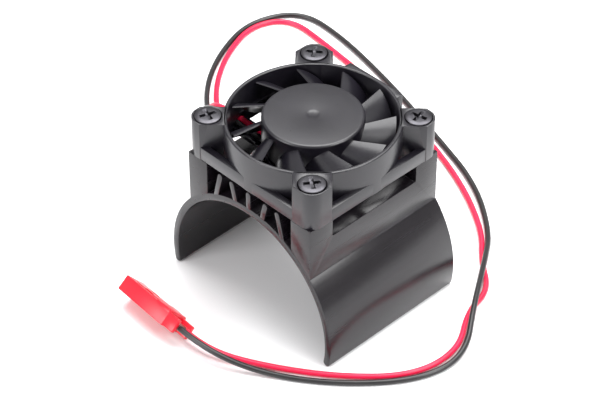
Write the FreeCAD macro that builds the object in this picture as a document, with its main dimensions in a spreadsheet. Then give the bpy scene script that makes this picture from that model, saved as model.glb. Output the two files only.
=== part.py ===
import FreeCAD, Part
import math
import os
import sys
import Sketcher

# Clip-on heat sink with a small axial fan for a 36 mm model-car motor.
# Millimetres. The floor is Z = 0, the fan turns about the Z axis and the motor lies along Y.

SIZES = {
    # heat sink
    "sink_width": 28.4,
    "sink_length": 29.2,
    "clip_radius": 17.6,
    "clip_wall": 1.3,
    "clip_centre": 3.82,
    "joint_height": 26.3,
    "channel_half": 9.75,
    "notch_half": 9.5,
    "notch_floor": 22.7,
    "fin_thick": 1.0,
    "hole_radius": 1.25,
    "hole_depth": 6.0,
    "screw_pitch": 24.0,
    # fan frame
    "frame_side": 29.2,
    "ring_outer": 14.6,
    "ring_inner": 13.9,
    "frame_height": 7.2,
    "bar_height": 2.5,
    "bar_thick": 1.3,
    "lug_wide": 3.15,
    "lug_narrow": 2.35,
    "lug_round": 2.4,
    "base_radius": 8.0,
    "base_thick": 1.0,
    "strut_wide": 3.6,
    "strut_narrow": 1.4,
    "channel_wide": 2.5,
    "channel_floor": 0.6,
    "tube_outer": 2.3,
    "tube_inner": 1.5,
    "tube_top": 31.8,
    "tube_floor": 0.25,
    "seat_depth": 0.45,
    # screws
    "head_radius": 2.25,
    "head_height": 0.75,
    "shank_radius": 1.15,
    "shank_length": 11.4,
    "cross_span": 3.3,
    "cross_width": 0.75,
    "cross_depth": 0.6,
    # rotor
    "hub_radius": 8.43,
    "hub_top": 34.0,
    "hub_roof": 0.9,
    "hub_bottom": 28.3,
    "gate_radius": 0.8,
    "gate_depth": 0.25,
    "blade_tip": 13.45,
    "blade_top": 33.0,
    "blade_bottom": 28.6,
    "blade_thick": 0.55,
    "blade_count": 11,
    "blade_start": 2.0,
    "root_lead": 0.2,
    "tip_lead": 3.5,
    "yoke_outer": 7.5,
    "yoke_inner": 7.0,
    "magnet_inner": 5.8,
    "magnet_bottom": 28.7,
    "magnet_height": 3.6,
    "shaft_radius": 0.75,
    "sleeve_bore": 0.78,
    # stator
    "core_radius": 5.5,
    "core_bottom": 29.2,
    "core_thick": 1.6,
    "arm_width": 1.4,
    "board_radius": 6.6,
    "board_thick": 0.5,
    "board_gap": 0.1,
    # leads and plug
    "lead_radius": 0.5,
    "lead_height": 27.45,
    "lead_red_y": -3.6,
    "lead_black_y": -4.8,
    "lead_red_start": 5.9,
    "lead_black_start": 5.1,
    "trough_y": -4.2,
    "plug_length": 14.2,
    "plug_width": 4.8,
    "plug_thick": 2.75,
    "plug_tilt": 50.0,
    "plug_yaw": -4.0,
    "plug_x": -9.43,
    "plug_y": -26.91,
    "plug_pitch": 1.9,
}

doc = FreeCAD.newDocument("motor_cooler")
sheet = doc.addObject("Spreadsheet::Sheet", "dims")
for row, (word, number) in enumerate(SIZES.items(), start=1):
    sheet.set("A%d" % row, word)
    sheet.set("B%d" % row, str(number))
    sheet.setAlias("B%d" % row, word)
doc.recompute()


class Formula:
    """A number together with the sheet formula that gives it."""

    def __init__(self, value, text):
        self.value = float(value)
        self.text = text

    def __add__(self, other):
        other = formula(other)
        return Formula(self.value + other.value, "(%s + %s)" % (self.text, other.text))

    def __sub__(self, other):
        other = formula(other)
        return Formula(self.value - other.value, "(%s - %s)" % (self.text, other.text))

    def __mul__(self, other):
        other = formula(other)
        return Formula(self.value * other.value, "(%s * %s)" % (self.text, other.text))

    def __truediv__(self, other):
        other = formula(other)
        return Formula(self.value / other.value, "(%s / %s)" % (self.text, other.text))

    def __neg__(self):
        return Formula(-self.value, "(0 - %s)" % self.text)

    def __radd__(self, other):
        return formula(other) + self

    def __rsub__(self, other):
        return formula(other) - self

    def __rmul__(self, other):
        return formula(other) * self


def formula(value):
    if isinstance(value, Formula):
        return value
    text = "%.6f" % value
    return Formula(value, "(0 - %s)" % text[1:] if value < 0 else text)


def size(word):
    return Formula(SIZES[word], "dims." + word)


def root(value):
    return Formula(math.sqrt(value.value), "sqrt(%s)" % value.text)


def cosine(value):
    value = formula(value)
    return Formula(math.cos(math.radians(value.value)), "cos(%s * 1 deg)" % value.text)


def sine(value):
    value = formula(value)
    return Formula(math.sin(math.radians(value.value)), "sin(%s * 1 deg)" % value.text)


def bind(thing, prop, value):
    thing.setExpression(prop, formula(value).text)


# ---------------------------------------------------------------- sketches and bodies


def new_body(label):
    body = doc.addObject("PartDesign::Body", label)
    body.Label = label
    return body


def new_sketch(body, name, plane, offset=None):
    sketch = body.newObject("Sketcher::SketchObject", name)
    flat = [f for f in body.Origin.OriginFeatures if f.Role == plane + "_Plane"][0]
    sketch.AttachmentSupport = (flat, "")
    sketch.MapMode = "FlatFace"
    if offset is not None:
        bind(sketch, "AttachmentOffset.Base.z", offset)
    return sketch


def hold(sketch, kind, value, *where):
    """Add a size that follows the sheet."""
    number = sketch.addConstraint(Sketcher.Constraint(kind, *where, value.value))
    sketch.setExpression("Constraints[%d]" % number, value.text)


def hold_point(sketch, edge, end, x, y):
    for kind, value, axis in (("DistanceX", x, -2), ("DistanceY", y, -1)):
        if abs(value.value) < 1e-9:
            sketch.addConstraint(Sketcher.Constraint("PointOnObject", edge, end, axis))
        else:
            hold(sketch, kind, value, -1, 1, edge, end)


def circle(sketch, radius, x=0, y=0):
    radius, x, y = formula(radius), formula(x), formula(y)
    shape = Part.Circle(FreeCAD.Vector(x.value, y.value, 0), FreeCAD.Vector(0, 0, 1), radius.value)
    edge = sketch.addGeometry(shape, False)
    hold(sketch, "Radius", radius, edge)
    hold_point(sketch, edge, 3, x, y)


def arc_edge(start, end, centre, side):
    """Arc about centre that bulges to the left (side 1) or right (side -1) of its chord."""
    first, last = (end, start) if side == 1 else (start, end)
    low = math.atan2(first.y - centre.y, first.x - centre.x)
    high = math.atan2(last.y - centre.y, last.x - centre.x)
    if high < low:
        high += 2 * math.pi
    whole = Part.Circle(centre, FreeCAD.Vector(0, 0, 1), (start - centre).Length)
    return Part.ArcOfCircle(whole, low, high)


def outline(sketch, corners, arcs=None):
    """Closed outline through the corners. arcs gives {edge: (centre x, centre y, side)}."""
    arcs = arcs or {}
    corners = [(formula(x), formula(y)) for x, y in corners]
    points = [FreeCAD.Vector(x.value, y.value, 0) for x, y in corners]
    edges = []
    for k, start in enumerate(points):
        end = points[(k + 1) % len(points)]
        if k in arcs:
            centre = FreeCAD.Vector(formula(arcs[k][0]).value, formula(arcs[k][1]).value, 0)
            edge = sketch.addGeometry(arc_edge(start, end, centre, arcs[k][2]), False)
        else:
            edge = sketch.addGeometry(Part.LineSegment(start, end), False)
        forward = (sketch.Geometry[edge].StartPoint - start).Length < 1e-5
        edges.append((edge, 1 if forward else 2, 2 if forward else 1))
    for k, (edge, first, last) in enumerate(edges):
        following, its_first, _ = edges[(k + 1) % len(edges)]
        sketch.addConstraint(Sketcher.Constraint("Coincident", edge, last, following, its_first))
    for k, (edge, first, last) in enumerate(edges):
        hold_point(sketch, edge, first, *corners[k])
        if k in arcs:
            hold_centre(sketch, edge, points[(k + 1) % len(points)] - points[k], arcs[k])


def hold_centre(sketch, edge, chord, arc):
    """Both ends of the arc are held, so one coordinate of its centre settles it."""
    x, y = formula(arc[0]), formula(arc[1])
    if abs(chord.y) > abs(chord.x):
        if abs(x.value) < 1e-9:
            sketch.addConstraint(Sketcher.Constraint("PointOnObject", edge, 3, -2))
        else:
            hold(sketch, "DistanceX", x, -1, 1, edge, 3)
    elif abs(y.value) < 1e-9:
        sketch.addConstraint(Sketcher.Constraint("PointOnObject", edge, 3, -1))
    else:
        hold(sketch, "DistanceY", y, -1, 1, edge, 3)


def arc_centre(start, end, radius, side):
    """Centre of a short arc of the given radius that bulges to the given side of its chord."""
    half_x, half_y = (end[0] - start[0]) / 2, (end[1] - start[1]) / 2
    half = math.hypot(half_x, half_y)
    back = math.sqrt(radius * radius - half * half)
    return (start[0] + half_x + side * half_y / half * back, start[1] + half_y - side * half_x / half * back, side)


def pad(body, sketch, length, both_ways=False, downward=False):
    feature = body.newObject("PartDesign::Pad", sketch.Name + "_pad")
    feature.Profile = sketch
    bind(feature, "Length", length)
    if both_ways:
        feature.SideType = "Symmetric"
    feature.Reversed = downward
    doc.recompute()
    return feature


def pocket(body, sketch, length, both_ways=False, upward=False):
    feature = body.newObject("PartDesign::Pocket", sketch.Name + "_pocket")
    feature.Profile = sketch
    bind(feature, "Length", length)
    if both_ways:
        feature.SideType = "Symmetric"
    feature.Reversed = upward
    doc.recompute()
    return feature


# ---------------------------------------------------------------- simple solids


def place(thing, x, y, z):
    bind(thing, "Placement.Base.x", x)
    bind(thing, "Placement.Base.y", y)
    bind(thing, "Placement.Base.z", z)


def rod(name, radius, height, bottom, x=0, y=0):
    """Upright cylinder."""
    solid = doc.addObject("Part::Cylinder", name)
    bind(solid, "Radius", radius)
    bind(solid, "Height", height)
    place(solid, x, y, bottom)
    return solid


def block(name, near, far, width, bottom, height, angle=0):
    """Box that reaches from near to far along a line turned by angle about the Z axis."""
    near, width = formula(near), formula(width)
    solid = doc.addObject("Part::Box", name)
    bind(solid, "Length", far - near)
    bind(solid, "Width", width)
    bind(solid, "Height", height)
    solid.Placement = FreeCAD.Placement(
        FreeCAD.Vector(0, 0, 0), FreeCAD.Rotation(FreeCAD.Vector(0, 0, 1), angle)
    )
    half = width / 2
    place(
        solid,
        cosine(angle) * near + sine(angle) * half,
        sine(angle) * near - cosine(angle) * half,
        bottom,
    )
    return solid


def cross_box(name, near, far, width, bottom, height):
    """Box towards -X, centred on the leads."""
    far, width = formula(far), formula(width)
    solid = doc.addObject("Part::Box", name)
    bind(solid, "Length", far - near)
    bind(solid, "Width", width)
    bind(solid, "Height", height)
    place(solid, -far, size("trough_y") - width / 2, bottom)
    return solid


def fuse(name, *solids):
    joined = doc.addObject("Part::MultiFuse", name)
    joined.Shapes = list(solids)
    joined.Label = name
    return joined


def cut(name, base, tool):
    result = doc.addObject("Part::Cut", name)
    result.Base = base
    result.Tool = tool
    result.Label = name
    return result


def common(name, *solids):
    result = doc.addObject("Part::MultiCommon", name)
    result.Shapes = list(solids)
    result.Label = name
    return result


def group(name, solids):
    """Separate solids of one node."""
    result = doc.addObject("Part::Compound", name)
    result.Links = list(solids)
    result.Label = name
    return result


def tube(name, outer, inner, height, bottom):
    inside = rod(name + "_bore", inner, height + 1.0, bottom - 0.5)
    return cut(name, rod(name + "_outside", outer, height, bottom), inside)


JOINT = size("joint_height")
FRAME_TOP = JOINT + size("frame_height")
HALF_PITCH = size("screw_pitch") / 2
SCREW_POSTS = [(1, 1), (-1, 1), (-1, -1), (1, -1)]


# ---------------------------------------------------------------- heat sink


def make_heat_sink():
    body = new_body("heat_sink")
    half = size("sink_width") / 2
    inner = size("clip_radius")
    outer = inner + size("clip_wall")
    centre = size("clip_centre")
    tip = size("clip_wall") / 2
    middle = inner + tip
    drop = (centre - tip) / middle
    spread = root(1 - drop * drop)

    # The clip is one open arc whose two ends rest on the floor.
    clip = new_sketch(body, "clip", "XZ")
    top = centre + outer
    crown = centre + inner
    low_outer = centre - outer * drop
    low_inner = centre - inner * drop
    outline(
        clip,
        [
            (-(outer * spread), low_outer),
            (0, top),
            (outer * spread, low_outer),
            (inner * spread, low_inner),
            (0, crown),
            (-(inner * spread), low_inner),
        ],
        {
            0: (0, centre, 1),
            1: (0, centre, 1),
            2: (middle * spread, tip, 1),
            3: (0, centre, -1),
            4: (0, centre, -1),
            5: (-(middle * spread), tip, 1),
        },
    )
    pad(body, clip, size("sink_length"), both_ways=True)

    # Each side wall stands on the arc.
    channel = size("channel_half")
    walls = new_sketch(body, "walls", "XZ")
    sunk = outer - size("clip_wall") * 0.5
    for side in (1, -1):
        low_out = centre + root(sunk * sunk - half * half)
        low_in = centre + root(sunk * sunk - channel * channel)
        corners = [(half * side, JOINT), (channel * side, JOINT), (channel * side, low_in), (half * side, low_out)]
        outline(walls, corners, {2: (0, centre, side)})
    pad(body, walls, size("sink_length"), both_ways=True)

    # Air leaves through a notch in each wall.
    notch = new_sketch(body, "notch", "YZ")
    reach = size("notch_half")
    floor = size("notch_floor")
    corner = 0.3
    outline(
        notch,
        [
            (-reach, JOINT + 1.0),
            (-reach, floor + corner),
            (-reach + corner, floor),
            (reach - corner, floor),
            (reach, floor + corner),
            (reach, JOINT + 1.0),
        ],
        {
            1: (-reach + corner, floor + corner, -1),
            3: (reach - corner, floor + corner, -1),
        },
    )
    pocket(body, notch, size("sink_width") + 2.0, both_ways=True)

    # Five fins with round tips stand on the arc between the walls.
    fins = new_sketch(body, "fins", "XZ")
    half_fin = size("fin_thick") / 2
    stations = [(-7.95, 19.9, -6.62, 25.35), (-3.02, 21.9, -3.9, 25.4), (0.0, 22.0, 0.0, 25.45),
                (3.02, 21.9, 3.9, 25.4), (7.95, 19.9, 6.62, 25.35)]
    for foot_x, foot_z, tip_x, tip_z in stations:
        along = math.hypot(tip_x - foot_x, tip_z - foot_z)
        across_x = half_fin * ((tip_z - foot_z) / along)
        across_z = half_fin * ((foot_x - tip_x) / along)
        outline(
            fins,
            [
                (foot_x + across_x, foot_z + across_z),
                (tip_x + across_x, tip_z + across_z),
                (tip_x - across_x, tip_z - across_z),
                (foot_x - across_x, foot_z - across_z),
            ],
            {1: (tip_x, tip_z, -1)},
        )
    pad(body, fins, size("sink_length"), both_ways=True)

    holes = new_sketch(body, "holes", "XY", JOINT)
    for sx, sy in SCREW_POSTS:
        circle(holes, size("hole_radius"), HALF_PITCH * sx, HALF_PITCH * sy)
    pocket(body, holes, size("hole_depth"))
    return body


# ---------------------------------------------------------------- fan frame


def make_fan_frame():
    half = size("frame_side") / 2
    height = size("frame_height")
    ring_outer, ring_inner = size("ring_outer"), size("ring_inner")
    base_top = size("base_thick")
    spare = 0.4

    # Plan outline shared by the lugs and the bars: a square with round corners.
    plan = new_body("frame_plan")
    square = new_sketch(plan, "square", "XY", JOINT)
    r = size("lug_round")
    near = half - r
    outline(
        square,
        [(half, -near), (half, near), (near, half), (-near, half),
         (-half, near), (-half, -near), (-near, -half), (near, -half)],
        {1: (near, near, -1), 3: (-near, near, -1), 5: (-near, -near, -1), 7: (near, -near, -1)},
    )
    pad(plan, square, height)

    pieces = [rod("ring_body", ring_outer, height, JOINT)]
    for angle, width in ((45, "lug_narrow"), (135, "lug_wide"), (225, "lug_narrow"), (315, "lug_wide")):
        lug = block("lug_%d" % angle, ring_inner, half * 1.5, size(width) * 2, JOINT, height, angle)
        pieces.append(lug)
    for angle in (0, 90, 180, 270):
        bar = block("bar_%d" % angle, half - size("bar_thick"), half, size("frame_side"), JOINT,
                    size("bar_height"), angle)
        pieces.append(bar)
    pieces.append(block("flat_side", ring_inner, half, 12.0, JOINT, height, 90))
    shell = common("frame_shell", fuse("frame_mass", *pieces), plan)
    shell = cut("frame_ring", shell, rod("ring_bore", ring_inner, height + 2.0, JOINT - 1.0))

    struts = []
    for angle in (0, 70, 290):
        struts.append(block("strut_%d" % angle, 6.0, ring_inner + spare, size("strut_narrow"), JOINT,
                            base_top, angle))
    struts.append(cross_box("strut_180", 5.0, ring_inner + spare, size("strut_wide"), JOINT, base_top))
    floor = rod("base_disc", size("base_radius"), base_top, JOINT)
    stem = rod("stem", size("tube_outer"), size("tube_top") - JOINT, JOINT)
    whole = fuse("frame_whole", shell, floor, stem, *struts)

    holes = []
    for k, (sx, sy) in enumerate(SCREW_POSTS):
        x, y = HALF_PITCH * sx, HALF_PITCH * sy
        holes.append(rod("through_%d" % k, size("hole_radius"), height + 2.0, JOINT - 1.0, x, y))
        seat = FRAME_TOP - size("seat_depth")
        holes.append(rod("seat_%d" % k, size("head_radius") + 0.1, 2.0, seat, x, y))
    bore_floor = JOINT + size("tube_floor")
    holes.append(rod("stem_bore", size("tube_inner"), 8.0, bore_floor))
    low = JOINT + size("channel_floor")
    holes.append(cross_box("lead_trough", size("lead_black_start") - 0.1, half + 1.0, size("channel_wide"), low, 1.2))
    return cut("fan_frame", whole, fuse("frame_openings", *holes))


def make_fan_screws():
    screws = []
    seat = FRAME_TOP - size("seat_depth")
    top = seat + size("head_height")
    for k, (sx, sy) in enumerate(SCREW_POSTS):
        x, y = HALF_PITCH * sx, HALF_PITCH * sy
        head = rod("head_%d" % k, size("head_radius"), size("head_height"), seat, x, y)
        shank_length = size("shank_length")
        shank = rod("shank_%d" % k, size("shank_radius"), shank_length + 0.2, seat - shank_length, x, y)
        span, width = size("cross_span"), size("cross_width")
        slots = []
        for n, (long_x, long_y) in enumerate(((span, width), (width, span))):
            slot = doc.addObject("Part::Box", "slot_%d_%d" % (k, n))
            bind(slot, "Length", long_x)
            bind(slot, "Width", long_y)
            bind(slot, "Height", size("cross_depth") + 0.2)
            place(slot, x - long_x / 2, y - long_y / 2, top - size("cross_depth"))
            slots.append(slot)
        solid = fuse("screw_solid_%d" % k, head, shank)
        screws.append(cut("screw_%d" % k, solid, fuse("cross_%d" % k, *slots)))
    return group("fan_screws", screws)


# ---------------------------------------------------------------- rotor


def make_blade(k):
    """One blade: a ruled surface between a section in the hub and one past the tip."""
    count = SIZES["blade_count"]
    top, bottom = size("blade_top"), size("blade_bottom")
    sections = []
    for where, radius, lead, chord in (("root", 7.9, "root_lead", 4.0), ("tip", 13.8, "tip_lead", 5.2)):
        body = new_body("blade_%s_%d" % (where, k))
        sketch = new_sketch(body, "blade_%s_outline_%d" % (where, k), "YZ", radius)
        skin = size("blade_thick") * 1.3
        ahead = size(lead)
        behind = ahead - chord
        high, low = SIZES["blade_top"], SIZES["blade_bottom"]
        outline(
            sketch,
            [(ahead, top), (behind, bottom), (behind - skin, bottom), (ahead - skin, top)],
            {
                0: arc_centre((ahead.value, high), (behind.value, low), 8.0, 1),
                2: arc_centre((behind.value - skin.value, low), (ahead.value - skin.value, high), 8.0, -1),
            },
        )
        sections.append(sketch)
    doc.recompute()
    loft = doc.addObject("Part::Loft", "blade_loft_%d" % k)
    loft.Sections = sections
    loft.Solid = True
    loft.Ruled = True
    angle = SIZES["blade_start"] + 360.0 * k / count
    loft.Placement = FreeCAD.Placement(
        FreeCAD.Vector(0, 0, 0), FreeCAD.Rotation(FreeCAD.Vector(0, 0, 1), angle)
    )
    return loft


def make_impeller():
    bottom, top = size("hub_bottom"), size("hub_top")
    body = new_body("hub_shell")
    drum = new_sketch(body, "drum", "XY", bottom)
    circle(drum, size("hub_radius"))
    first = pad(body, drum, top - bottom)
    rim = body.newObject("PartDesign::Fillet", "hub_rim")
    edges = []
    for n, edge in enumerate(first.Shape.Edges, start=1):
        box = edge.BoundBox
        if abs(box.ZMin - top.value) < 1e-4 and abs(box.ZMax - top.value) < 1e-4:
            edges.append("Edge%d" % n)
    rim.Base = (first, edges)
    rim.Radius = 0.5
    doc.recompute()
    cavity = new_sketch(body, "cavity", "XY", bottom)
    circle(cavity, size("yoke_outer"))
    pocket(body, cavity, top - bottom - size("hub_roof"), upward=True)
    gate = new_sketch(body, "gate", "XY", top)
    circle(gate, size("gate_radius"))
    pocket(body, gate, size("gate_depth"))
    blades = [make_blade(k) for k in range(SIZES["blade_count"])]
    sweep = rod("blade_reach", size("blade_tip"), 8.0, bottom - 0.5)
    trimmed = common("blades_trimmed", group("blades_all", blades), sweep)
    return fuse("impeller", body, trimmed)


def make_rotor_parts():
    roof = size("hub_top") - size("hub_roof")
    bottom = size("hub_bottom") + 0.2
    height = roof - bottom
    shell = rod("yoke_outside", size("yoke_outer"), height, bottom)
    inside = rod("yoke_inside", size("yoke_inner"), height - 0.5, bottom)
    eye = rod("yoke_eye", size("shaft_radius"), height + 1.0, bottom)
    yoke = cut("rotor_yoke", shell, fuse("yoke_hollow", inside, eye))
    magnet = tube("magnet_ring", size("yoke_inner"), size("magnet_inner"), size("magnet_height"),
                  size("magnet_bottom"))
    shaft_bottom = JOINT + size("tube_floor") + 0.32
    shaft = rod("rotor_shaft", size("shaft_radius"), roof - shaft_bottom, shaft_bottom)
    shaft.Label = "rotor_shaft"
    clip = tube("retaining_clip", 1.3, size("shaft_radius"), 0.2, JOINT + 0.78)
    return [yoke, magnet, shaft, clip]


# ---------------------------------------------------------------- stator


def make_bearing_parts():
    sleeve = tube("bearing_sleeve", size("tube_inner"), size("sleeve_bore"), 4.3, JOINT + 1.1)
    pad_height = 0.3
    thrust = rod("thrust_pad", 1.35, pad_height, JOINT + size("tube_floor"))
    label = rod("base_label", size("base_radius") - 0.4, 0.15, JOINT - 0.15)
    return [sleeve, thrust, label]


def make_stator_core():
    low, thick = size("core_bottom"), size("core_thick")
    shoe = tube("shoe_ring", size("core_radius"), size("core_radius") - 0.75, thick, low)
    gaps = [block("gap_%d" % a, 4.0, 6.0, 0.9, low - 0.5, thick + 1.0, a) for a in (45, 135, 225, 315)]
    shoes = cut("shoes", shoe, fuse("shoe_gaps", *gaps))
    arms = [block("arm_%d" % a, 2.6, 5.0, size("arm_width"), low, thick, a) for a in (0, 90, 180, 270)]
    eye = rod("core_boss", 3.0, thick, low)
    solid = fuse("core_solid", shoes, eye, *arms)
    return cut("stator_core", solid, rod("core_bore", size("tube_outer"), thick + 1.0, low - 0.5))


def make_bobbin(name, bottom, wall_bottom):
    """Plastic cap on one face of the core, with a raised lip that holds the windings in."""
    plate, lip = 0.25, 0.9
    arms = []
    for a in (0, 90, 180, 270):
        arms.append(block("%s_arm_%d" % (name, a), 2.6, 5.3, size("arm_width"), bottom, plate, a))
        arms.append(block("%s_lip_%d" % (name, a), 4.95, 5.3, 3.4, wall_bottom, lip, a))
    collar = rod(name + "_collar", 3.0, lip, wall_bottom)
    solid = fuse(name + "_solid", collar, *arms)
    return cut(name, solid, rod(name + "_bore", size("tube_outer"), 3.0, wall_bottom - 1.0))


def make_coils():
    low, thick = size("core_bottom") - 0.25, size("core_thick") + 0.5
    fill = 0.6
    coils = []
    for a in (0, 90, 180, 270):
        wound = block("coil_mass_%d" % a, 3.15, 4.5, size("arm_width") + fill * 2, low - fill,
                      thick + fill * 2, a)
        hole = block("coil_hole_%d" % a, 2.5, 5.3, size("arm_width"), low, thick, a)
        coils.append(cut("coil_%d" % a, wound, hole))
    return group("stator_coils", coils)


def make_board_parts():
    base = JOINT + size("base_thick") + size("board_gap")
    top = base + size("board_thick")
    board = cut("circuit_board", rod("board_disc", size("board_radius"), size("board_thick"), base),
                rod("board_eye", size("tube_outer") + 0.1, 2.0, base - 0.5))
    chip = block("driver_chip", 4.3, 5.5, 1.8, top, 0.55, 45)
    chip.Label = "driver_chip"
    store = block("capacitor", 4.4, 5.4, 0.6, top, 0.45, 135)
    store.Label = "capacitor"
    joints = []
    for n, (x, y) in enumerate(((-4.9, -3.5), (-4.15, -4.35))):
        joints.append(rod("solder_%d" % n, 0.4, 0.22, top, x, y))
    return [board, chip, store, group("solder_joints", joints)]


# ---------------------------------------------------------------- leads and plug


def make_inner_lead(name, start, across):
    lead = doc.addObject("Part::Cylinder", name)
    lead.Label = name
    bind(lead, "Radius", size("lead_radius"))
    bind(lead, "Height", size("frame_side") / 2 - size(start))
    lead.Placement = FreeCAD.Placement(
        FreeCAD.Vector(0, 0, 0), FreeCAD.Rotation(FreeCAD.Vector(0, 1, 0), -90)
    )
    place(lead, -size(start), size(across), size("lead_height"))
    return lead


TILT = math.radians(SIZES["plug_tilt"])
YAW = math.radians(SIZES["plug_yaw"])
PLUG_ALONG = FreeCAD.Vector(math.cos(YAW), math.sin(YAW), 0)
PLUG_ACROSS = FreeCAD.Vector(math.sin(YAW) * math.cos(TILT), -math.cos(YAW) * math.cos(TILT), math.sin(TILT))
PLUG_MIDDLE_Z = (SIZES["plug_width"] * math.sin(TILT) + SIZES["plug_thick"] * math.cos(TILT)) / 2
PLUG_MIDDLE = FreeCAD.Vector(SIZES["plug_x"], SIZES["plug_y"], PLUG_MIDDLE_Z)


def plug_frame():
    """Placement of the plug: it stands on one long edge with its wide side tilted up towards -Y."""
    turn = FreeCAD.Rotation(PLUG_ALONG, PLUG_ACROSS, FreeCAD.Vector(0, 0, 0), "XYZ")
    return FreeCAD.Placement(PLUG_MIDDLE, turn)


def lead_end(side, back=0.0):
    """Centre of a lead at the plug's rear end, or that far behind it."""
    end = PLUG_MIDDLE + PLUG_ACROSS * (side * SIZES["plug_pitch"] / 2)
    end += PLUG_ALONG * (SIZES["plug_length"] / 2 + back)
    return tuple(end)


START = -SIZES["frame_side"] / 2

BLACK_ROUTE = [
    (START, -4.8, 27.45),
    (-19.4, -4.8, 27.45),
    (-24.0, -3.0, 22.6),
    (-28.6, 1.6, 14.2),
    (-34.6, 7.4, 6.0),
    (-42.4, 14.8, 0.5),
    (-50.2, 21.4, 0.5),
    (-56.0, 30.6, 0.5),
    (-59.1, 41.0, 0.5),
    (-54.6, 50.4, 0.5),
    (-43.5, 50.2, 0.5),
    (-27.0, 46.4, 0.5),
    (-9.0, 40.8, 0.5),
    (4.0, 36.3, 0.5),
    (14.6, 28.6, 0.5),
    (20.0, 21.2, 1.7),
    (26.2, 11.8, 1.9),
    (32.6, 3.0, 0.6),
    (31.2, -6.4, 0.5),
    (22.6, -16.6, 0.5),
    (12.4, -23.6, 0.5),
    lead_end(1, 6.4),
    lead_end(1),
]

RED_ROUTE = [
    (START, -3.6, 27.45),
    (-19.2, -3.6, 27.45),
    (-23.6, -1.6, 22.6),
    (-27.8, 3.2, 14.2),
    (-33.6, 9.0, 6.0),
    (-41.2, 16.2, 0.5),
    (-48.9, 22.6, 0.5),
    (-54.7, 31.0, 0.5),
    (-58.0, 40.4, 0.5),
    (-54.2, 47.2, 0.5),
    (-44.5, 46.4, 0.5),
    (-27.0, 43.9, 0.5),
    (-9.5, 39.2, 0.5),
    (3.2, 34.2, 0.5),
    (13.6, 27.7, 0.5),
    (18.6, 22.0, 0.5),
    (24.4, 17.6, 0.5),
    (25.6, 11.0, 0.5),
    (30.9, 3.2, 0.5),
    (29.8, -6.4, 0.5),
    (21.6, -15.2, 0.5),
    (11.2, -22.2, 0.5),
    lead_end(-1, 5.8),
    lead_end(-1),
]


def cord_wire(name, route):
    """Straight runs joined by tangent arcs. Returns the wire and prints its arc radii and length."""
    points = [FreeCAD.Vector(*p) for p in route]
    edges = []
    radii = []
    here = points[0]
    for before, corner, after in zip(points, points[1:], points[2:]):
        back = (before - corner).normalize()
        ahead = (after - corner).normalize()
        turn = math.pi - back.getAngle(ahead)
        shorter = min((before - corner).Length, (after - corner).Length)
        trim = 0.45 * shorter
        radii.append(trim / math.tan(turn / 2))
        first = corner + back * trim
        last = corner + ahead * trim
        bisector = (back + ahead).normalize()
        reach = radii[-1] / math.cos(turn / 2) - radii[-1]
        edges.append(Part.makeLine(here, first))
        edges.append(Part.Arc(first, corner + bisector * reach, last).toShape())
        here = last
    edges.append(Part.makeLine(here, points[-1]))
    wire = Part.Wire(edges)
    print("%s: length %.1f mm, arc radii %s" % (name, wire.Length, [round(r, 1) for r in radii]))
    return wire


def make_lead(name, route):
    radius = sheet.get("lead_radius")
    wire = cord_wire(name, route)
    along = FreeCAD.Vector(*route[1]) - FreeCAD.Vector(*route[0])
    section = Part.Wire(Part.makeCircle(radius, FreeCAD.Vector(*route[0]), along))
    solid = wire.makePipeShell([section], True, False)
    expected = math.pi * radius * radius * wire.Length
    if abs(solid.Volume - expected) > 0.02 * expected:
        sys.exit("%s: volume %.2f is not %.2f" % (name, solid.Volume, expected))
    lead = doc.addObject("Part::Feature", name)
    lead.Label = name
    lead.Shape = solid
    return lead


def plug_box(name, low_x, high_x, low_y, high_y, low_z, high_z):
    """Box in the plug's own directions, measured from the plug's middle."""
    solid = doc.addObject("Part::Box", name)
    bind(solid, "Length", formula(high_x) - low_x)
    bind(solid, "Width", formula(high_y) - low_y)
    bind(solid, "Height", formula(high_z) - low_z)
    corner = FreeCAD.Vector(formula(low_x).value, formula(low_y).value, formula(low_z).value)
    frame = plug_frame()
    solid.Placement = FreeCAD.Placement(frame.multVec(corner), frame.Rotation)
    return solid


def make_plug():
    length, width, thick = size("plug_length") / 2, size("plug_width") / 2, size("plug_thick") / 2
    pitch = size("plug_pitch") / 2
    # Plain nose, a grip raised a little over the rear, a latch rib, and two prongs beside the leads.
    rear = length - 2.6
    nose = plug_box("plug_nose", -length, rear, -width, width, -thick, thick)
    grip = plug_box("plug_grip", rear - 3.6, rear, -width, width, -thick - 0.2, -thick + 0.5)
    rib = plug_box("plug_rib", -length + 1.8, rear - 3.6, -1.5, 1.5, -thick - 0.12, -thick + 0.5)
    prongs = []
    for n, low in enumerate((width - 0.8, -width)):
        prongs.append(plug_box("prong_%d" % n, rear - 0.5, length, low, low + 0.8, -thick + 0.15, thick - 0.15))
    hollows = []
    for n, side in enumerate((1, -1)):
        low = pitch * side - 0.62
        hollows.append(plug_box("cell_%d" % n, -length - 1.0, length, low, low + 1.24, -0.62, 0.62))
        hollows.append(plug_box("window_%d" % n, -3.4, -1.4, low + 0.1, low + 1.14, -thick - 1.0, -0.4))
    solid = fuse("plug_solid", nose, grip, rib, *prongs)
    housing = cut("connector_housing", solid, fuse("plug_hollows", *hollows))
    contacts = []
    for n, side in enumerate((1, -1)):
        low = pitch * side - 0.5
        shell = plug_box("socket_%d" % n, -length + 0.8, length, low, low + 1.0, -0.5, 0.5)
        bore = plug_box("socket_bore_%d" % n, -length - 1.0, length - 6.0, low + 0.2, low + 0.8, -0.3, 0.3)
        contacts.append(cut("contact_%d" % n, shell, bore))
    return [housing, group("connector_contacts", contacts)]


# ---------------------------------------------------------------- build and write


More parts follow.
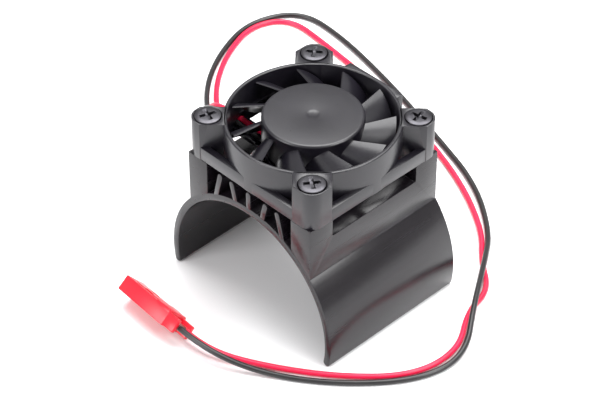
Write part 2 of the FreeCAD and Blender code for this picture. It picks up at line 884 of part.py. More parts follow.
def build():
    nodes = [make_heat_sink(), make_fan_frame(), make_fan_screws(), make_impeller()]
    nodes += make_rotor_parts()
    nodes += make_bearing_parts()
    nodes.append(make_stator_core())
    core_low = size("core_bottom")
    core_high = core_low + size("core_thick")
    nodes.append(make_bobbin("stator_bobbin_upper", core_high, core_high))
    nodes.append(make_bobbin("stator_bobbin_lower", core_low - 0.25, core_low - 0.9))
    nodes.append(make_coils())
    nodes += make_board_parts()
    nodes.append(make_inner_lead("lead_red_inner", "lead_red_start", "lead_red_y"))
    nodes.append(make_inner_lead("lead_black_inner", "lead_black_start", "lead_black_y"))
    nodes.append(make_lead("lead_red", RED_ROUTE))
    nodes.append(make_lead("lead_black", BLACK_ROUTE))
    nodes += make_plug()
    doc.recompute()
    return nodes


def write(nodes):
    bad = []
    for thing in doc.Objects:
        if "Invalid" in thing.State or "Error" in thing.State:
            bad.append("%s %s" % (thing.Label, thing.State))
    for node in nodes:
        if node.Shape.isNull() or not node.Shape.isValid():
            bad.append(node.Label + " has no valid shape")
    if bad:
        sys.exit("\n".join(bad))
    os.makedirs("parts", exist_ok=True)
    for node in nodes:
        node.Shape.exportStep("parts/%s.step" % node.Label)
        solids = len(node.Shape.Solids)
        print("%-22s %3d solids %10.2f mm3" % (node.Label, solids, node.Shape.Volume))


write(build())
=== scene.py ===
import math

import bmesh
import bpy
from mathutils import Matrix, Vector


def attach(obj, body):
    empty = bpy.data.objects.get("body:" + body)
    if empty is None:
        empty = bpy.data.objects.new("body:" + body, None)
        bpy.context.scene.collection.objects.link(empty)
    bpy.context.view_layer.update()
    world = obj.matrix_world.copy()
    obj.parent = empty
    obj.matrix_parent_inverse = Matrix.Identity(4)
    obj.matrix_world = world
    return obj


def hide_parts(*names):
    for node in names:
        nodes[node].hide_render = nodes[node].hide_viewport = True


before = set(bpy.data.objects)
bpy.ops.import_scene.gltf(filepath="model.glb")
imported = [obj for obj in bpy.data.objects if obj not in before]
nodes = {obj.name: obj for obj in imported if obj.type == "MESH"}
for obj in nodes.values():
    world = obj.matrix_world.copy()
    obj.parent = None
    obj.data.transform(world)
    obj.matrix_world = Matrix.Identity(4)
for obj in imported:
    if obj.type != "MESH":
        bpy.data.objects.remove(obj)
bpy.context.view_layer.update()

MM = 0.001
scene = bpy.context.scene

# ---------------------------------------------------------------- camera

CAMERA_AT = Vector((216.0, -212.7, 273.8)) * MM
LOOKS_AT = Vector((2.5, -4.5, 19.4)) * MM
LENS = 142.3

camera = bpy.data.objects.new("camera", bpy.data.cameras.new("camera"))
camera.data.lens = LENS
camera.data.sensor_width = 36.0
camera.data.clip_start = 0.01
camera.location = CAMERA_AT
camera.rotation_euler = (LOOKS_AT - CAMERA_AT).to_track_quat("-Z", "Y").to_euler()
scene.collection.objects.link(camera)
scene.camera = camera

# ---------------------------------------------------------------- sizes, in millimetres

SINK_HALF_X = 14.2
SINK_HALF_Y = 14.6
CLIP_RADIUS = 17.6
CLIP_WALL = 1.3
CLIP_CENTRE = 3.82
JOINT = 26.3
CHANNEL_HALF = 9.75
NOTCH_HALF = 9.5
NOTCH_FLOOR = 22.7
FRAME_HALF = 14.6
RING_OUTER = 14.6
RING_INNER = 13.9
FRAME_TOP = 33.5
BAR_TOP = 28.8
BAR_THICK = 1.3
LUG_ROUND = 2.4
SCREW_AT = 12.0
HUB_RADIUS = 8.43
HUB_TOP = 34.0
HUB_BOTTOM = 28.3
YOKE_OUTER = 7.5
BLADE_TIP = 13.4
LEAD_RADIUS = 0.5
TROUGH_OUTER = (-6.0, -2.4)
TROUGH_INNER = (-5.45, -2.95)
TROUGH_FLOOR = JOINT + 0.6
TROUGH_TOP = JOINT + 1.8
BASE_TOP = JOINT + 1.0
SEAT_RADIUS = 2.35
SEAT_FLOOR = FRAME_TOP - 0.45
INSET = 0.02  # keeps faces out of the same plane
END_INSET = 0.03

# ---------------------------------------------------------------- leads

TILT = math.radians(50.0)
YAW = math.radians(-4.0)
PLUG_LENGTH, PLUG_WIDTH, PLUG_THICK = 14.2, 4.8, 2.75
PLUG_MIDDLE = Vector((-9.43, -26.91, (PLUG_WIDTH * math.sin(TILT) + PLUG_THICK * math.cos(TILT)) / 2))
PLUG_ALONG = Vector((math.cos(YAW), math.sin(YAW), 0))
PLUG_ACROSS = Vector((math.sin(YAW) * math.cos(TILT), -math.cos(YAW) * math.cos(TILT), math.sin(TILT)))
PLUG_REAR = PLUG_MIDDLE + PLUG_ALONG * (PLUG_LENGTH / 2)
LEAD_SPACE = 0.95
PRONG_LENGTH = 2.6
GRIP_LENGTH = 3.6
BLACK_END = PLUG_REAR + PLUG_ACROSS * LEAD_SPACE
RED_END = PLUG_REAR - PLUG_ACROSS * LEAD_SPACE

BLACK_ROUTE = [
    (-0.0146, -0.0048, 0.02745),
    (-0.0194, -0.0048, 0.02745),
    (-0.0240, -0.0030, 0.0226),
    (-0.0286, 0.0016, 0.0142),
    (-0.0346, 0.0074, 0.0060),
    (-0.0424, 0.0148, 0.0005),
    (-0.0502, 0.0214, 0.0005),
    (-0.0560, 0.0306, 0.0005),
    (-0.0591, 0.0410, 0.0005),
    (-0.0546, 0.0504, 0.0005),
    (-0.0435, 0.0502, 0.0005),
    (-0.0270, 0.0464, 0.0005),
    (-0.0090, 0.0408, 0.0005),
    (0.0040, 0.0363, 0.0005),
    (0.0146, 0.0286, 0.0005),
    (0.0200, 0.0212, 0.0017),
    (0.0262, 0.0118, 0.0019),
    (0.0326, 0.0030, 0.0006),
    (0.0312, -0.0064, 0.0005),
    (0.0226, -0.0166, 0.0005),
    (0.0124, -0.0236, 0.0005),
    tuple((BLACK_END + PLUG_ALONG * 6.4) * MM),
    tuple(BLACK_END * MM),
]

RED_ROUTE = [
    (-0.0146, -0.0036, 0.02745),
    (-0.0192, -0.0036, 0.02745),
    (-0.0236, -0.0016, 0.0226),
    (-0.0278, 0.0032, 0.0142),
    (-0.0336, 0.0090, 0.0060),
    (-0.0412, 0.0162, 0.0005),
    (-0.0489, 0.0226, 0.0005),
    (-0.0547, 0.0310, 0.0005),
    (-0.0580, 0.0404, 0.0005),
    (-0.0542, 0.0472, 0.0005),
    (-0.0445, 0.0464, 0.0005),
    (-0.0270, 0.0439, 0.0005),
    (-0.0095, 0.0392, 0.0005),
    (0.0032, 0.0342, 0.0005),
    (0.0136, 0.0277, 0.0005),
    (0.0186, 0.0220, 0.0005),
    (0.0244, 0.0176, 0.0005),
    (0.0256, 0.0110, 0.0005),
    (0.0309, 0.0032, 0.0005),
    (0.0298, -0.0064, 0.0005),
    (0.0216, -0.0152, 0.0005),
    (0.0112, -0.0222, 0.0005),
    tuple((RED_END + PLUG_ALONG * 5.8) * MM),
    tuple(RED_END * MM),
]


def make_lead(name, route):
    curve = bpy.data.curves.new(name, "CURVE")
    curve.dimensions = "3D"
    curve.bevel_depth = LEAD_RADIUS * MM
    curve.bevel_resolution = 6
    curve.use_fill_caps = True
    spline = curve.splines.new("NURBS")
    spline.points.add(len(route) - 1)
    for point, place in zip(spline.points, route):
        point.co = (*place, 1.0)
    spline.order_u = 3
    spline.use_endpoint_u = True
    spline.resolution_u = 16
    lead = bpy.data.objects.new(name, curve)
    scene.collection.objects.link(lead)
    return lead


black_lead = make_lead("black_lead", BLACK_ROUTE)
red_lead = make_lead("red_lead", RED_ROUTE)

# ---------------------------------------------------------------- materials


def new_material(name, colour, rough, metallic=0.0, **sockets):
    material = bpy.data.materials.new(name)
    material.use_nodes = True
    shader = material.node_tree.nodes["Principled BSDF"]
    shader.inputs["Base Color"].default_value = (*colour, 1.0)
    shader.inputs["Roughness"].default_value = rough
    shader.inputs["Metallic"].default_value = metallic
    for socket, value in sockets.items():
        shader.inputs[socket.replace("_", " ")].default_value = value
    return material


def texture(material, kind, scale, stretch=(1, 1, 1), turn=(0, 0, 0), **values):
    """A procedural pattern in object coordinates. scale is in patterns per metre."""
    tree = material.node_tree
    coords = tree.nodes.new("ShaderNodeTexCoord")
    mapping = tree.nodes.new("ShaderNodeMapping")
    mapping.inputs["Scale"].default_value = stretch
    mapping.inputs["Rotation"].default_value = turn
    pattern = tree.nodes.new(kind)
    pattern.inputs["Scale"].default_value = scale
    for socket, value in values.items():
        pattern.inputs[socket].default_value = value
    tree.links.new(coords.outputs["Object"], mapping.inputs["Vector"])
    tree.links.new(mapping.outputs["Vector"], pattern.inputs["Vector"])
    return pattern


def vary_roughness(material, pattern, low, high):
    tree = material.node_tree
    spread = tree.nodes.new("ShaderNodeMapRange")
    spread.inputs["To Min"].default_value = low
    spread.inputs["To Max"].default_value = high
    tree.links.new(pattern.outputs[0], spread.inputs["Value"])
    tree.links.new(spread.outputs["Result"], tree.nodes["Principled BSDF"].inputs["Roughness"])


def vary_colour(material, pattern, dark, light):
    tree = material.node_tree
    ramp = tree.nodes.new("ShaderNodeValToRGB")
    ramp.color_ramp.elements[0].position = 0.3
    ramp.color_ramp.elements[0].color = (*dark, 1.0)
    ramp.color_ramp.elements[1].position = 0.7
    ramp.color_ramp.elements[1].color = (*light, 1.0)
    tree.links.new(pattern.outputs[0], ramp.inputs["Fac"])
    tree.links.new(ramp.outputs["Color"], tree.nodes["Principled BSDF"].inputs["Base Color"])


def add_bump(material, pattern, depth_mm, strength=1.0):
    tree = material.node_tree
    bump = tree.nodes.new("ShaderNodeBump")
    bump.inputs["Strength"].default_value = strength
    bump.inputs["Distance"].default_value = depth_mm * MM
    tree.links.new(pattern.outputs[0], bump.inputs["Height"])
    tree.links.new(bump.outputs["Normal"], tree.nodes["Principled BSDF"].inputs["Normal"])


def anodised():
    """Black anodised extrusion: faint lines along its length and a soft satin shine."""
    material = new_material("anodised_black", (0.006, 0.0045, 0.0065), 0.30, 0.0, Specular_IOR_Level=0.5)
    lines = texture(material, "ShaderNodeTexNoise", 1500, (1.0, 0.02, 1.0), Detail=3.0)
    vary_roughness(material, lines, 0.18, 0.32)
    add_bump(material, lines, 0.006, 0.6)
    cloud = texture(material, "ShaderNodeTexNoise", 160, Detail=2.0)
    vary_colour(material, cloud, (0.005, 0.0035, 0.0055), (0.008, 0.006, 0.0085))
    return material


def moulded(name, dark, light, low=0.3, high=0.45, grain=2600, depth=0.008, shine=0.5):
    """Moulded plastic with a fine grain and slightly uneven colour."""
    material = new_material(name, light, (low + high) / 2, Specular_IOR_Level=shine)
    fine = texture(material, "ShaderNodeTexNoise", grain, Detail=4.0)
    vary_roughness(material, fine, low, high)
    add_bump(material, fine, depth, 0.5)
    cloud = texture(material, "ShaderNodeTexNoise", 220, Detail=2.0)
    vary_colour(material, cloud, dark, light)
    return material


def plated(name, dark, light, low, high, stretch=(1, 1, 1)):
    """Bare or plated metal with faint tool marks."""
    material = new_material(name, light, (low + high) / 2, 1.0)
    marks = texture(material, "ShaderNodeTexNoise", 1800, stretch, Detail=4.0)
    vary_roughness(material, marks, low, high)
    add_bump(material, marks, 0.004, 0.5)
    cloud = texture(material, "ShaderNodeTexNoise", 400, Detail=2.0)
    vary_colour(material, cloud, dark, light)
    return material


def wound_copper():
    material = plated("copper", (0.62, 0.25, 0.08), (0.78, 0.36, 0.14), 0.25, 0.4)
    turns = texture(material, "ShaderNodeTexWave", 900, turn=(0, 0, 0.785))
    add_bump(material, turns, 0.05, 0.8)
    return material


MATERIALS = {
    "anodised_black": anodised(),
    "fan_plastic": moulded(
        "fan_plastic", (0.005, 0.004, 0.007), (0.008, 0.007, 0.011), 0.24, 0.38, shine=0.6
    ),
    "screw_steel": plated("screw_steel", (0.06, 0.058, 0.065), (0.09, 0.088, 0.097), 0.26, 0.4),
    "steel": plated("steel", (0.48, 0.49, 0.51), (0.6, 0.61, 0.63), 0.2, 0.34),
    "ferrite": moulded("ferrite", (0.06, 0.055, 0.055), (0.09, 0.085, 0.085), 0.55, 0.75),
    "shaft_steel": plated("shaft_steel", (0.62, 0.63, 0.65), (0.72, 0.73, 0.75), 0.08, 0.16, (1, 1, 0.1)),
    "nylon": moulded("nylon", (0.76, 0.74, 0.69), (0.85, 0.83, 0.79), 0.35, 0.5),
    "bronze": plated("bronze", (0.5, 0.33, 0.16), (0.64, 0.45, 0.24), 0.35, 0.55),
    "label_foil": plated("label_foil", (0.68, 0.68, 0.7), (0.78, 0.78, 0.79), 0.25, 0.38),
    "lamination_steel": plated(
        "lamination_steel", (0.3, 0.3, 0.32), (0.4, 0.4, 0.42), 0.3, 0.5, (0.05, 0.05, 2)
    ),
    "bobbin_plastic": moulded("bobbin_plastic", (0.7, 0.67, 0.6), (0.8, 0.77, 0.7), 0.4, 0.55),
    "copper": wound_copper(),
    "board_green": moulded("board_green", (0.02, 0.13, 0.05), (0.04, 0.2, 0.08), 0.25, 0.4),
    "chip_black": moulded("chip_black", (0.015, 0.015, 0.015), (0.025, 0.025, 0.025), 0.5, 0.65),
    "ceramic_tan": moulded("ceramic_tan", (0.45, 0.33, 0.2), (0.58, 0.44, 0.28), 0.35, 0.5),
    "solder": plated("solder", (0.6, 0.6, 0.62), (0.75, 0.75, 0.77), 0.15, 0.3),
    "red_insulation": moulded(
        "red_insulation", (0.70, 0.004, 0.045), (0.80, 0.007, 0.062), 0.32, 0.46, 1500, 0.01
    ),
    "black_insulation": moulded(
        "black_insulation", (0.012, 0.011, 0.012), (0.018, 0.017, 0.018), 0.26, 0.38, 1500, 0.01
    ),
    "plug_red": moulded("plug_red", (0.62, 0.006, 0.018), (0.72, 0.010, 0.028), 0.26, 0.4, 1800, 0.01),
    "contact_metal": plated("contact_metal", (0.62, 0.6, 0.55), (0.75, 0.73, 0.68), 0.2, 0.35),
}

# ---------------------------------------------------------------- mesh tools


def new_object(name, verts, faces):
    mesh = bpy.data.meshes.new(name)
    mesh.from_pydata([Vector(v) * MM for v in verts], [], faces)
    mesh.validate()
    shape = bmesh.new()
    shape.from_mesh(mesh)
    bmesh.ops.recalc_face_normals(shape, faces=shape.faces)
    shape.to_mesh(mesh)
    shape.free()
    made = bpy.data.objects.new(name, mesh)
    scene.collection.objects.link(made)
    return made


def prism(name, plan, low, high, to_xyz):
    """Closed outline in a plane, pushed from low to high. to_xyz turns (a, b, height) into a point."""
    count = len(plan)
    verts = [to_xyz(a, b, low) for a, b in plan] + [to_xyz(a, b, high) for a, b in plan]
    faces = [list(range(count))[::-1], [count + k for k in range(count)]]
    for k in range(count):
        after = (k + 1) % count
        faces.append([k, after, count + after, count + k])
    return new_object(name, verts, faces)


def along_y(a, b, height):
    return (a, height, b)


def along_z(a, b, height):
    return (a, b, height)


def brick(name, low, high):
    plan = [(low[0], low[1]), (high[0], low[1]), (high[0], high[1]), (low[0], high[1])]
    return prism(name, plan, low[2], high[2], along_z)


def lathe(name, profile, segments=128, x=0.0, y=0.0):
    """Closed (radius, height) loop turned about a vertical axis. A radius of zero closes on the axis."""
    verts, rings = [], []
    for radius, height in profile:
        if radius == 0:
            rings.append([len(verts)] * segments)
            verts.append((x, y, height))
            continue
        rings.append([len(verts) + k for k in range(segments)])
        for k in range(segments):
            turn = 2 * math.pi * k / segments
            verts.append((x + radius * math.cos(turn), y + radius * math.sin(turn), height))
    faces = []
    for j, ring in enumerate(rings):
        following = rings[(j + 1) % len(rings)]
        for k in range(segments):
            after = (k + 1) % segments
            corners = []
            for index in (ring[k], ring[after], following[after], following[k]):
                if index not in corners:
                    corners.append(index)
            if len(corners) > 2:
                faces.append(corners)
    return new_object(name, verts, faces)


def arc_points(centre, radius, start, end, steps):
    """Points on an arc in degrees, both ends included."""
    points = []
    for k in range(steps + 1):
        turn = math.radians(start + (end - start) * k / steps)
        points.append((centre[0] + radius * math.cos(turn), centre[1] + radius * math.sin(turn)))
    return points


def settle(made):
    """Applies a piece's modifiers."""
    bpy.context.view_layer.update()
    done = bpy.data.meshes.new_from_object(made.evaluated_get(bpy.context.evaluated_depsgraph_get()))
    made.modifiers.clear()
    made.data = done
    return made


def carve(made, *tools):
    """Cuts the tools out of a piece and removes them."""
    for tool in tools:
        step = made.modifiers.new("carve", "BOOLEAN")
        step.operation = "DIFFERENCE"
        step.solver = "EXACT"
        step.object = tool
        settle(made)
        bpy.data.objects.remove(tool)
    return made


def soften(made, width_mm, angle=40.0, segments=2):
    """Rounds the sharp edges and shades the rest smooth."""
    edge = made.modifiers.new("edge", "BEVEL")
    edge.width = width_mm * MM
    edge.segments = segments
    edge.limit_method = "ANGLE"
    edge.angle_limit = math.radians(angle)
    edge.use_clamp_overlap = True
    edge.harden_normals = False
    settle(made)
    smooth(made, angle)
    return made


def smooth(made, angle=35.0):
    made.data.polygons.foreach_set("use_smooth", [True] * len(made.data.polygons))
    made.data.set_sharp_from_angle(angle=math.radians(angle))


def join(name, parts):
    """One object from several closed pieces."""
    shape = bmesh.new()
    for part in parts:
        shape.from_mesh(part.data)
        bpy.data.objects.remove(part)
    mesh = bpy.data.meshes.new(name)
    shape.to_mesh(mesh)
    shape.free()
    made = bpy.data.objects.new(name, mesh)
    scene.collection.objects.link(made)
    smooth(made)
    return made


def enter(made, body, slot_name, *replaced):
    """Gives a piece its material and its body, and hides the CAD nodes it stands for."""
    made.data.materials.clear()
    made.data.materials.append(MATERIALS[slot_name])
    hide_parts(*replaced)
    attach(made, body)
    return made


# ---------------------------------------------------------------- heat sink


def make_sink_body():
    middle = CLIP_RADIUS + CLIP_WALL / 2
    tip = CLIP_WALL / 2
    low = math.degrees(math.asin((CLIP_CENTRE - tip) / middle))
    centre = (0.0, CLIP_CENTRE)
    plan = arc_points(centre, CLIP_RADIUS + CLIP_WALL, -low, 180 + low, 120)
    tip_left = (-middle * math.cos(math.radians(low)), tip)
    tip_right = (-tip_left[0], tip)
    plan += arc_points(tip_left, tip, 180 + low, 360 + low, 10)[1:-1]
    plan += arc_points(centre, CLIP_RADIUS, 180 + low, -low, 120)
    plan += arc_points(tip_right, tip, 180 - low, 360 - low, 10)[1:-1]
    parts = [soften(prism("clip", plan, -SINK_HALF_Y, SINK_HALF_Y, along_y), 0.14)]
    for side in (1, -1):
        parts.append(make_wall(side))
    for foot, tip_point in FINS:
        parts.append(make_fin(foot, tip_point))
    return join("sink_body", parts)


def make_wall(side):
    """Thick side wall standing in the arc, with the air notch in its top edge."""
    corner = 0.3
    low = END_INSET - SINK_HALF_Y
    plan = [(low, 0.0), (low, JOINT)]
    plan += [(-NOTCH_HALF, JOINT)]
    plan += arc_points((-NOTCH_HALF + corner, NOTCH_FLOOR + corner), corner, 180, 270, 6)
    plan += arc_points((NOTCH_HALF - corner, NOTCH_FLOOR + corner), corner, 270, 360, 6)
    plan += [(NOTCH_HALF, JOINT), (-low, JOINT), (-low, 0.0)]
    sunk = CLIP_RADIUS + CLIP_WALL / 2

    def to_xyz(y, z, x):
        if z == 0.0:
            z = CLIP_CENTRE + math.sqrt(sunk * sunk - x * x)
        return (side * x, y, z)

    return soften(prism("wall", plan, CHANNEL_HALF, SINK_HALF_X, to_xyz), 0.16)


FINS = [
    ((-7.95, 19.9), (-6.62, 25.35)),
    ((-3.02, 21.9), (-3.9, 25.4)),
    ((0.0, 22.0), (0.0, 25.45)),
    ((3.02, 21.9), (3.9, 25.4)),
    ((7.95, 19.9), (6.62, 25.35)),
]


def make_fin(foot, tip):
    half = 0.5
    lean = math.degrees(math.atan2(tip[1] - foot[1], tip[0] - foot[0]))
    across = (half * math.sin(math.radians(lean)), -half * math.cos(math.radians(lean)))
    plan = [(foot[0] - across[0], foot[1] - across[1]), (foot[0] + across[0], foot[1] + across[1])]
    plan += arc_points(tip, half, lean - 90, lean + 90, 8)
    return soften(prism("fin", plan, END_INSET - SINK_HALF_Y, SINK_HALF_Y - END_INSET, along_y), 0.08, 50)


enter(make_sink_body(), "fixed", "anodised_black", "heat_sink")

# ---------------------------------------------------------------- fan frame


def lug_plan(angle, half_width):
    """Plan of a corner lug: a strip along the diagonal, closed by the rounded corner."""
    near = FRAME_HALF - LUG_ROUND
    inner = math.sqrt(14.2 ** 2 - half_width ** 2)
    side = FRAME_HALF - math.sqrt(2) * half_width
    root = ((inner + half_width) / math.sqrt(2), (inner - half_width) / math.sqrt(2))
    plan = [root, (FRAME_HALF, side)]
    plan += arc_points((near, near), LUG_ROUND, 0, 90, 12)
    plan += [(side, FRAME_HALF), (root[1], root[0])]
    turn = math.radians(angle - 45)
    cos, sin = math.cos(turn), math.sin(turn)
    return [(x * cos - y * sin, x * sin + y * cos) for x, y in plan]


def turned(made, angle):
    made.data.transform(Matrix.Rotation(math.radians(angle), 4, "Z"))
    return made


def drum(name, radius, low, high, segments, x=0.0, y=0.0):
    """Solid upright cylinder."""
    return lathe(name, [(0, low), (radius, low), (radius, high), (0, high)], segments, x, y)


def lead_opening(far, near):
    """Space for the leads where they leave the frame, between two places along X."""
    return brick("opening", (far, TROUGH_INNER[0], TROUGH_FLOOR), (near, TROUGH_INNER[1], TROUGH_TOP))


def make_frame_body():
    round_top = 0.25
    profile = [(RING_INNER, JOINT), (RING_OUTER, JOINT), (RING_OUTER, FRAME_TOP - round_top)]
    profile += arc_points((RING_OUTER - round_top, FRAME_TOP - round_top), round_top, 0, 90, 4)[1:]
    profile += arc_points((RING_INNER + round_top, FRAME_TOP - round_top), round_top, 90, 180, 4)
    ring = lathe("ring", profile, 160)
    parts = [carve(ring, lead_opening(-16.0, -7.0))]
    smooth(parts[0], 50)
    for angle, half_width in ((45, 2.35), (135, 3.15), (225, 2.35), (315, 3.15)):
        lug = prism("lug", lug_plan(angle, half_width), JOINT, FRAME_TOP, along_z)
        turn = math.radians(angle)
        reach = SCREW_AT * math.sqrt(2)
        at = (reach * math.cos(turn), reach * math.sin(turn))
        seat = drum("seat", SEAT_RADIUS, SEAT_FLOOR, FRAME_TOP + 1, 48, *at)
        parts.append(soften(carve(lug, seat), 0.13, 50))
    for angle in (0, 90, 180, 270):
        low = (FRAME_HALF - BAR_THICK, -11.2, JOINT + INSET)
        bar = brick("bar", low, (FRAME_HALF - END_INSET, 11.2, BAR_TOP))
        turned(bar, angle)
        if angle == 180:
            carve(bar, lead_opening(-16.0, -12.0))
        parts.append(soften(bar, 0.13, 50))
    flat = brick("flat", (-6.0, 13.0, JOINT + INSET), (6.0, FRAME_HALF - INSET, FRAME_TOP - INSET))
    bore = drum("bore", 14.0, JOINT - 1, FRAME_TOP + 1, 160)
    parts.append(soften(carve(flat, bore), 0.12, 50))
    parts += make_frame_base()
    return join("frame_body", parts)


def make_frame_base():
    """Disc that carries the fan motor, its bearing stem and the struts to the ring."""
    parts = []
    for angle in (0, 70, 290):
        strut = brick("strut", (7.6, -0.7, JOINT), (RING_INNER + 0.3, 0.7, BASE_TOP))
        parts.append(soften(turned(strut, angle), 0.12))
    far = -RING_INNER - 0.3
    floor_low = (far, TROUGH_OUTER[0], JOINT + INSET / 2)
    floor_high = (-5.6, TROUGH_OUTER[1], TROUGH_FLOOR - INSET / 2)
    parts.append(soften(brick("trough_floor", floor_low, floor_high), 0.08))
    for low, high in ((TROUGH_OUTER[0], TROUGH_INNER[0]), (TROUGH_INNER[1], TROUGH_OUTER[1])):
        side = brick("trough_side", (far, low, JOINT + 0.3), (-7.4, high, BASE_TOP))
        parts.append(soften(side, 0.08))
    profile = [(0, JOINT), (8.0, JOINT), (8.0, BASE_TOP), (2.3, BASE_TOP), (2.3, 31.8), (1.5, 31.8)]
    profile += [(1.5, JOINT + 0.25), (0, JOINT + 0.25)]
    disc = lathe("disc", profile, 96)
    carve(disc, lead_opening(-9.0, -5.0))
    parts.append(soften(disc, 0.1, 50))
    return parts


enter(make_frame_body(), "fixed", "fan_plastic", "fan_frame")

# ---------------------------------------------------------------- screws

SCREW_TURNS = {(1, 1): 12, (-1, 1): 38, (-1, -1): 70, (1, -1): 55}


def make_screw(x, y, turn):
    """Low pan head with a cross recess, and the shank below it."""
    top = FRAME_TOP + 0.3
    low = SEAT_FLOOR
    profile = [(0, low - 11.4), (0.7, low - 11.4), (1.15, low - 10.8), (1.15, low)]
    profile += [(2.23, low), (2.25, low + 0.12), (2.25, top - 0.32), (2.17, top - 0.14)]
    profile += [(1.95, top - 0.05), (1.5, top - 0.01), (0.7, top), (0, top)]
    screw = lathe("screw", profile, 64)
    for angle in (0, 90):
        slot = brick("slot", (-1.65, -0.375, top - 0.6), (1.65, 0.375, top + 0.3))
        for vertex in slot.data.vertices:
            if vertex.co.z < top * MM:
                vertex.co.x *= 0.6
                vertex.co.y *= 0.7
        carve(screw, turned(slot, angle + turn))
    soften(screw, 0.05, 50, 1)
    screw.data.transform(Matrix.Translation((x * MM, y * MM, 0)))
    return screw


screws = [make_screw(SCREW_AT * sx, SCREW_AT * sy, turn) for (sx, sy), turn in SCREW_TURNS.items()]
enter(join("cross_screws", screws), "fixed", "screw_steel", "fan_screws")

# ---------------------------------------------------------------- impeller

BLADE_COUNT = 11
BLADE_START = 2.0


def blade_section(share):
    """Thin cambered section at a share of the way from hub to tip, as (angle, height) pairs."""
    radius = 8.0 + share * (BLADE_TIP - 8.0)
    lead = 0.2 + share * 3.1
    chord = 4.0 + share * 1.1
    thick = 0.62 - 0.12 * share
    top, bottom = 33.0, 28.6
    steps = 8
    upper, lower = [], []
    for k in range(steps + 1):
        along = k / steps
        sag = 0.6 * 4 * along * (1 - along)
        reach = lead - chord * along
        height = top - (top - bottom) * along
        taper = thick * (1 - 0.45 * abs(2 * along - 1) ** 3) / 2
        upper.append((reach - sag * 0.7 - taper * 0.75, height + sag * 0.6 + taper * 0.65))
        lower.append((reach - sag * 0.7 + taper * 0.75, height + sag * 0.6 - taper * 0.65))
    loop = upper + lower[::-1]
    return radius, [(reach / radius, min(height, 33.05)) for reach, height in loop]


def make_blade(number):
    verts, faces = [], []
    rows = 10
    for j in range(rows + 1):
        radius, loop = blade_section(j / rows)
        for turn, height in loop:
            angle = math.radians(BLADE_START + 360 * number / BLADE_COUNT) + turn
            verts.append((radius * math.cos(angle), radius * math.sin(angle), height))
    count = len(loop)
    for j in range(rows):
        for k in range(count):
            after = (k + 1) % count
            faces.append([j * count + k, j * count + after, (j + 1) * count + after, (j + 1) * count + k])
    half = count // 2
    for j in (0, rows):
        for k in range(half - 1):
            faces.append([j * count + i for i in (k, k + 1, count - 2 - k, count - 1 - k)])
    blade = new_object("blade", verts, faces)
    smooth(blade, 40)
    return blade


def make_impeller_body():
    """Hub cup with a soft top edge, a shallow moulding mark at its centre, and the blades."""
    edge = 0.5
    roof = HUB_TOP - 0.9
    profile = [(0, HUB_TOP - 0.1), (0.6, HUB_TOP - 0.1), (0.8, HUB_TOP - 0.07)]
    profile += [(1.0, HUB_TOP - 0.02), (1.2, HUB_TOP)]
    profile += arc_points((HUB_RADIUS - edge, HUB_TOP - edge), edge, 90, 0, 8)
    profile += [(HUB_RADIUS, HUB_BOTTOM + 0.1), (HUB_RADIUS - 0.1, HUB_BOTTOM)]
    profile += [(YOKE_OUTER + 0.05, HUB_BOTTOM), (YOKE_OUTER + 0.02, roof), (0.0, roof)]
    hub = lathe("hub", profile, 128)
    smooth(hub, 40)
    return join("impeller_body", [hub] + [make_blade(k) for k in range(BLADE_COUNT)])


enter(make_impeller_body(), "rotor", "fan_plastic", "impeller")

# ---------------------------------------------------------------- plug


def in_plug(made):
    """Moves a piece from the plug's own directions to where the plug lies."""
    third = PLUG_ALONG.cross(PLUG_ACROSS)
    axes = Matrix((PLUG_ALONG, PLUG_ACROSS, third)).transposed().to_4x4()
    made.data.transform(Matrix.Translation(PLUG_MIDDLE * MM) @ axes)
    return made


def make_plug():
    length, width, thick = PLUG_LENGTH / 2, PLUG_WIDTH / 2, PLUG_THICK / 2
    rear = length - PRONG_LENGTH
    grip_start = rear - GRIP_LENGTH
    nose = brick("nose", (-length, -width, -thick), (rear, width, thick))
    grip_low = (grip_start, -width - 0.01, -thick - 0.2)
    grip = brick("grip", grip_low, (rear - 0.01, width + 0.01, -thick + 0.5))
    rib = brick("rib", (1.8 - length, -1.5, -thick - 0.12), (grip_start + 0.1, 1.5, -thick + 0.5))
    prongs = [
        brick("prong", (rear - 0.5, width - 0.8, -thick + 0.15), (length, width - 0.01, thick - 0.15)),
        brick("prong", (rear - 0.5, -width + 0.01, -thick + 0.15), (length, -width + 0.8, thick - 0.15)),
    ]
    for middle in (LEAD_SPACE, -LEAD_SPACE):
        cell = brick("cell", (-length - 1, middle - 0.62, -0.62), (length + 1, middle + 0.62, 0.62))
        window = brick("window", (-3.4, middle - 0.52, -thick - 1), (-1.4, middle + 0.52, -0.4))
        carve(nose, cell, window)
        carve(rib, brick("window", (-3.4, middle - 0.52, -thick - 1), (-1.4, middle + 0.52, thick)))
    parts = [soften(part, 0.14, 50) for part in [nose, grip, rib] + prongs]
    return in_plug(join("plug_housing", parts))


enter(make_plug(), "fixed", "plug_red", "connector_housing")

# ---------------------------------------------------------------- leads, and the CAD pieces that stay

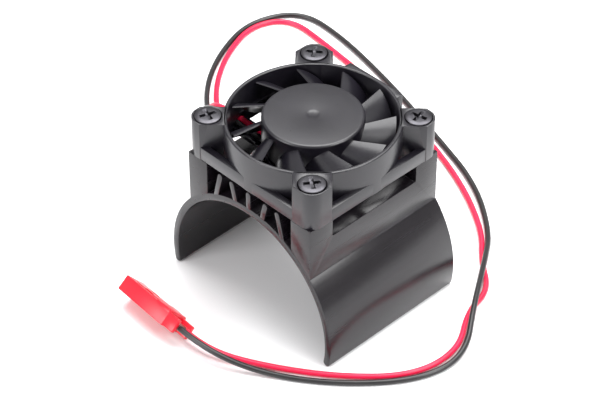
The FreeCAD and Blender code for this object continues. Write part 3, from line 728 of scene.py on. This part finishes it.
for lead, node, slot_name, exit_point in (
    (black_lead, "lead_black", "black_insulation", BLACK_ROUTE[0]),
    (red_lead, "lead_red", "red_insulation", RED_ROUTE[0]),
):
    enter(lead, "fixed", slot_name, node)

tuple(BLACK_ROUTE[0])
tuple(RED_ROUTE[0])

KEPT = {
    "rotor_yoke": "steel",
    "magnet_ring": "ferrite",
    "rotor_shaft": "shaft_steel",
    "retaining_clip": "nylon",
    "bearing_sleeve": "bronze",
    "thrust_pad": "nylon",
    "base_label": "label_foil",
    "stator_core": "lamination_steel",
    "stator_bobbin_upper": "bobbin_plastic",
    "stator_bobbin_lower": "bobbin_plastic",
    "stator_coils": "copper",
    "circuit_board": "board_green",
    "driver_chip": "chip_black",
    "capacitor": "ceramic_tan",
    "solder_joints": "solder",
    "lead_red_inner": "red_insulation",
    "lead_black_inner": "black_insulation",
    "connector_contacts": "contact_metal",
}
for node, slot_name in KEPT.items():
    for material_slot in nodes[node].material_slots:
        material_slot.material = MATERIALS[slot_name]

# ---------------------------------------------------------------- floor and light


def make_floor():
    side = 3000.0
    floor = prism("floor", [(-side, -side), (side, -side), (side, side), (-side, side)], -1.0, 0.0, along_z)
    material = new_material("floor", (0.86, 0.86, 0.87), 0.6)
    floor.data.materials.append(material)


def add_light(name, place_mm, size_mm, power, aim_mm=(0, 0, 15)):
    light = bpy.data.lights.new(name, "AREA")
    light.shape = "RECTANGLE"
    light.size, light.size_y = (s * MM for s in size_mm)
    light.energy = power
    made = bpy.data.objects.new(name, light)
    made.location = Vector(place_mm) * MM
    aim = Vector(aim_mm) * MM - made.location
    made.rotation_euler = aim.to_track_quat("-Z", "Y").to_euler()
    scene.collection.objects.link(made)
    return made


make_floor()
add_light("overhead", (-60, 140, 600), (560, 560), 7.0)
add_light("key", (450, 120, 420), (260, 260), 2.2)
add_light("fill", (-160, -560, 300), (360, 220), 2.4)

world = bpy.data.worlds.new("studio")
world.use_nodes = True
world.node_tree.nodes["Background"].inputs["Color"].default_value = (1.0, 1.0, 1.0, 1.0)
world.node_tree.nodes["Background"].inputs["Strength"].default_value = 0.6
scene.world = world
scene.view_settings.view_transform = "Standard"
scene.view_settings.look = "None"
